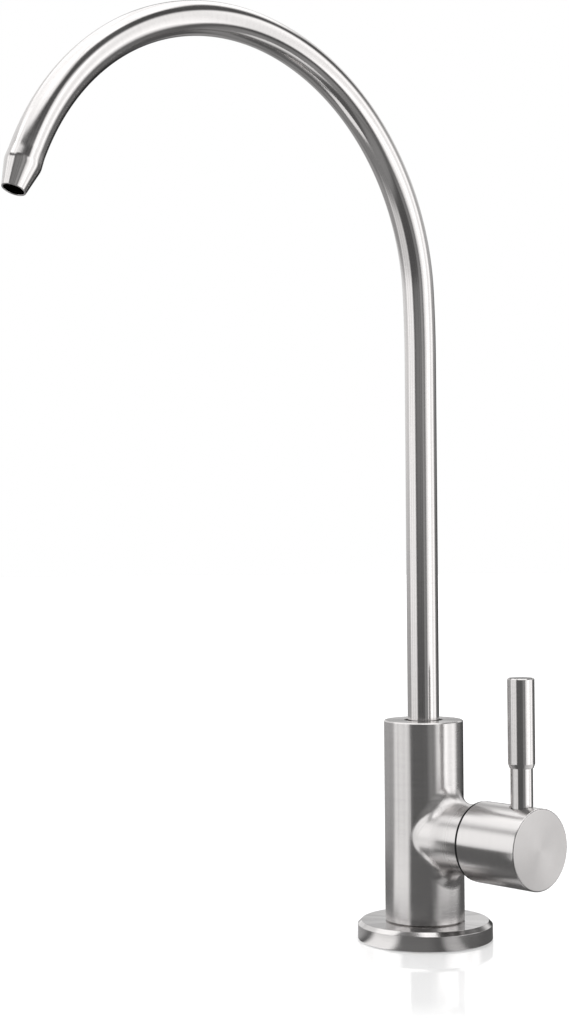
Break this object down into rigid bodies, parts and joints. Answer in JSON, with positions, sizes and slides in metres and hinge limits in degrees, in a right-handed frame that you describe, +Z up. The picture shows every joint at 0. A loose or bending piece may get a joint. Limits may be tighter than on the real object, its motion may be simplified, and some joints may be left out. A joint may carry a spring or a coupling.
{
  "type": "drinking water filter tap",
  "caption": "Slim gooseneck drinking water tap: swivelling spout on an upright valve body, side handle with a lever, round base flange, threaded shank and tube inlet below.",
  "frame": {"origin": "on the body's vertical axis, in the plane of the worktop's top, which is the underside of the base gasket", "axes": "+Z up along the spout's swivel axis, the spout points along -Y at rest, and +X runs along the valve's axis to the handle"},
  "size_m": [0.0683, 0.1752, 0.3333],
  "materials": {
    "brushed_stainless": "satin brushed stainless steel, slightly warm",
    "plain_steel": "plain turned or pressed steel",
    "brass": "machined brass",
    "black_rubber": "matt nitrile rubber",
    "red_rubber": "matt silicone rubber",
    "black_plastic": "smooth acetal",
    "white_plastic": "smooth acetal or fluoropolymer",
    "ceramic": null
  },
  "bodies": {
    "base": {"base_flange": "brushed_stainless", "flange_gasket": "black_rubber", "valve_body": "brushed_stainless", "spout_thrust_washer": "white_plastic", "spout_grub_screw": "plain_steel", "cartridge_body": "brass", "cartridge_o_ring": "black_rubber", "cartridge_nut": "brass", "seat_seal": "red_rubber", "fixed_disc": "ceramic", "handle_glide_ring": "black_plastic", "threaded_shank": "brass", "shank_seal": "black_rubber", "deck_rubber_washer": "black_rubber", "deck_steel_washer": "plain_steel", "lock_washer": "plain_steel", "mounting_nut": "brass", "inlet_compression_nut": "brass", "inlet_sleeve": "white_plastic"},
    "spout": {"spout_tube": "brushed_stainless", "spout_ferrule": "brass", "spout_o_ring_lower": "black_rubber", "spout_o_ring_upper": "black_rubber"},
    "lever": {"handle_hub": "brushed_stainless", "lever_rod": "brushed_stainless", "lever_grip": "brushed_stainless", "handle_grub_screw": "plain_steel", "valve_stem": "brass", "moving_disc": "ceramic", "stem_thrust_washer": "white_plastic", "stem_o_ring_inner": "black_rubber", "stem_o_ring_outer": "black_rubber", "stem_clip": "plain_steel"}
  },
  "joints": [
    {"name": "spout_swivel", "type": "hinge", "parent": "base", "child": "spout", "pos_m": [0, 0, 0.0682], "axis": [0, 0, 1], "continuous": true},
    {"name": "lever_turn", "type": "hinge", "parent": "base", "child": "lever", "pos_m": [0.025, 0, 0.033], "axis": [1, 0, 0], "range_deg": [0, 90]}
  ]
}
